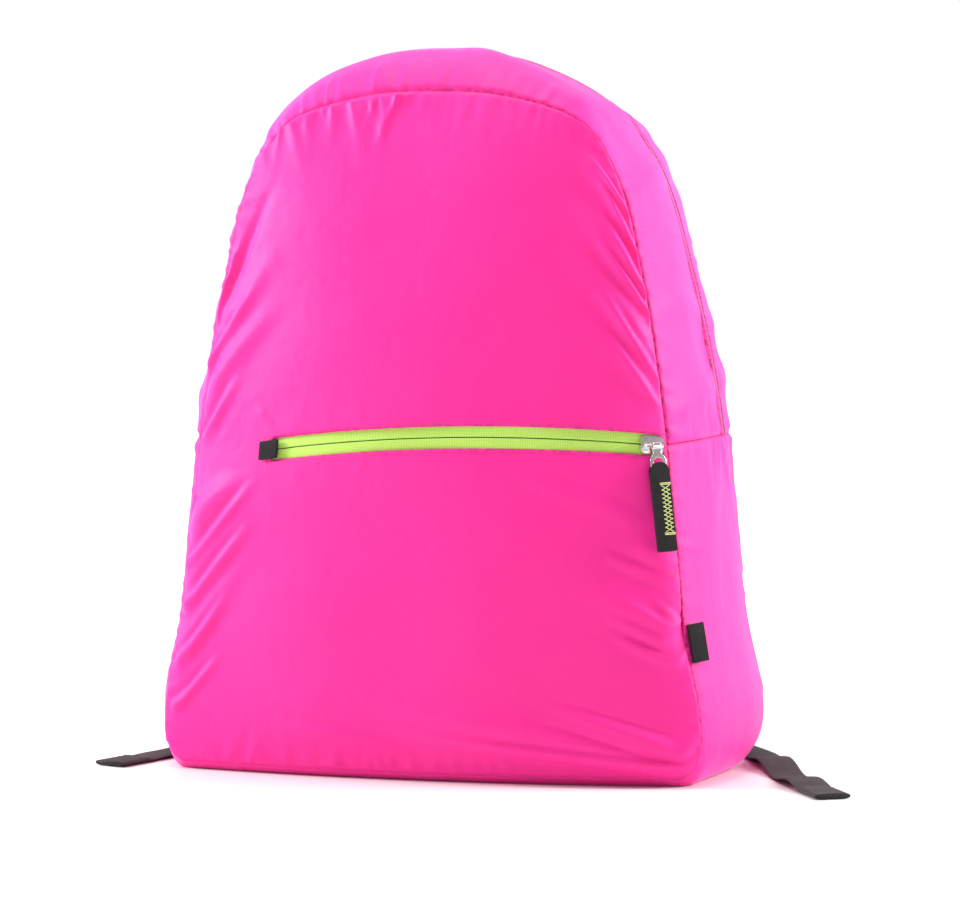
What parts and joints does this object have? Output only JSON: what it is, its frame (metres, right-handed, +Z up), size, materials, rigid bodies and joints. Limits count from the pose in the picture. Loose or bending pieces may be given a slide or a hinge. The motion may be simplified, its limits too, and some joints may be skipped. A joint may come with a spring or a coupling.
{
  "type": "packable backpack",
  "caption": "Light nylon daypack with an arched top, a zipped front pocket with a contrast tape, padded shoulder straps and loose webbing ends.",
  "frame": {"origin": "the middle of the flat base, on the ground under the bag", "axes": "+Z up, -Y out of the front panel with the pocket zip, +Y out of the back panel with the shoulder straps, +X to the zip's closed end"},
  "size_m": [0.4719, 0.2262, 0.4406],
  "materials": {
    "pink_nylon": "thin glossy woven nylon, vivid pink",
    "pink_tape": "woven zip tape, pink",
    "lime_tape": "woven zip tape, lime green",
    "nickel": "bright nickel plate",
    "black_webbing": "close black webbing",
    "grey_webbing": "dark grey ribbed webbing",
    "black_plastic": "matt black moulded plastic"
  },
  "bodies": {
    "pack": {"front_panel": "pink_nylon", "gusset_front_strip": "pink_nylon", "gusset_rear_strip": "pink_nylon", "lower_gusset": "pink_nylon", "main_zip_tape": "pink_tape", "back_panel": "pink_nylon", "pocket_zip_tape_upper": "lime_tape", "pocket_zip_tape_lower": "lime_tape", "pocket_zip_slider": "nickel", "zip_end_tab": "black_webbing", "side_label": "black_webbing", "shoulder_strap_right": "pink_nylon", "shoulder_strap_left": "pink_nylon", "ladder_lock_right": "black_plastic", "ladder_lock_left": "black_plastic", "strap_web_right": "grey_webbing", "strap_web_left": "grey_webbing", "main_zip_slider": "nickel"},
    "pull": {"pocket_zip_pull": "nickel", "pull_tab": "black_webbing"}
  },
  "joints": [
    {"name": "pull_swing", "type": "hinge", "parent": "pack", "child": "pull", "pos_m": [0.14067, -0.07734, 0.20312], "axis": [-0.8487, -0.5165, 0.1135], "range_deg": [0, 150]}
  ]
}
